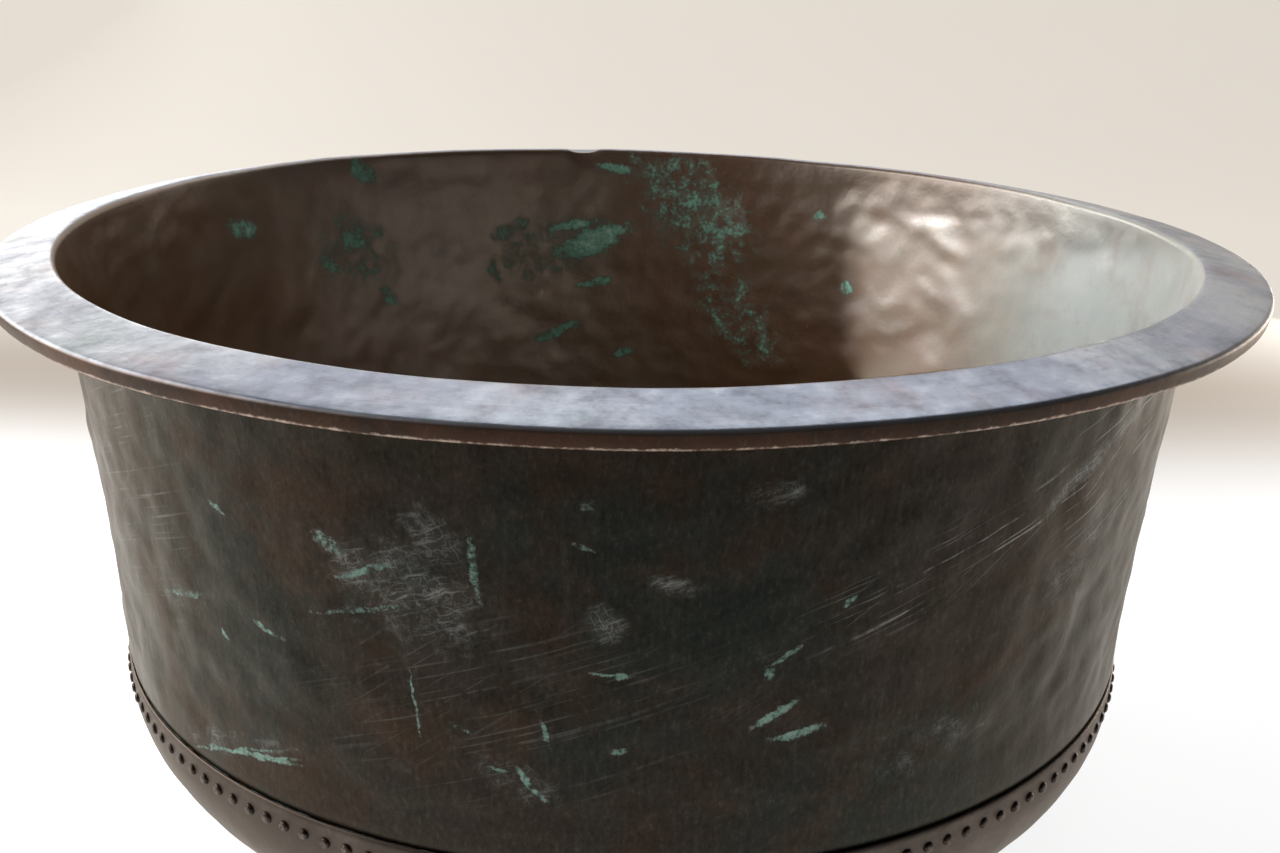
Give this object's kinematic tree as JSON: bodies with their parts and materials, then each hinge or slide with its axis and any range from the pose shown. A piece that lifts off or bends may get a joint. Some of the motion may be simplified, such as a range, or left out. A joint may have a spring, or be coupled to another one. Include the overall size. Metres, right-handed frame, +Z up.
{
  "type": "riveted copper vat",
  "caption": "Large open round vat of hammered sheet copper with a sloping flanged rim, folded hem and a dished bottom riveted on outside the wall.",
  "frame": {"origin": "middle of the flat on which the vat stands", "axes": "+Z up along the vat's axis, the open mouth facing +Z"},
  "size_m": [0.9392, 0.9392, 0.45],
  "materials": {
    "wall_copper": "dark brown patina",
    "pan_copper": "taupe patina",
    "rivet_copper": "dark brown patina",
    "hoop_iron": "rusted",
    "solder": "dull grey"
  },
  "bodies": {
    "root": {"side_wall": "wall_copper", "bottom_pan": "pan_copper", "rim_hoop": "hoop_iron", "seam_solder": "solder", "rivet_01": "rivet_copper", "rivet_02": "rivet_copper", "rivet_03": "rivet_copper", "rivet_04": "rivet_copper", "rivet_05": "rivet_copper", "rivet_06": "rivet_copper", "rivet_07": "rivet_copper", "rivet_08": "rivet_copper", "rivet_09": "rivet_copper", "rivet_10": "rivet_copper", "rivet_11": "rivet_copper", "rivet_12": "rivet_copper", "rivet_13": "rivet_copper", "rivet_14": "rivet_copper", "rivet_15": "rivet_copper", "rivet_16": "rivet_copper", "rivet_17": "rivet_copper", "rivet_18": "rivet_copper", "rivet_19": "rivet_copper", "rivet_20": "rivet_copper", "rivet_21": "rivet_copper", "rivet_22": "rivet_copper", "rivet_23": "rivet_copper", "rivet_24": "rivet_copper", "rivet_25": "rivet_copper", "rivet_26": "rivet_copper", "rivet_27": "rivet_copper", "rivet_28": "rivet_copper", "rivet_29": "rivet_copper", "rivet_30": "rivet_copper", "rivet_31": "rivet_copper", "rivet_32": "rivet_copper", "rivet_33": "rivet_copper", "rivet_34": "rivet_copper", "rivet_35": "rivet_copper", "rivet_36": "rivet_copper", "rivet_37": "rivet_copper", "rivet_38": "rivet_copper", "rivet_39": "rivet_copper", "rivet_40": "rivet_copper", "rivet_41": "rivet_copper", "rivet_42": "rivet_copper", "rivet_43": "rivet_copper", "rivet_44": "rivet_copper", "rivet_45": "rivet_copper", "rivet_46": "rivet_copper", "rivet_47": "rivet_copper", "rivet_48": "rivet_copper", "rivet_49": "rivet_copper", "rivet_50": "rivet_copper", "rivet_51": "rivet_copper", "rivet_52": "rivet_copper"}
  },
  "joints": []
}
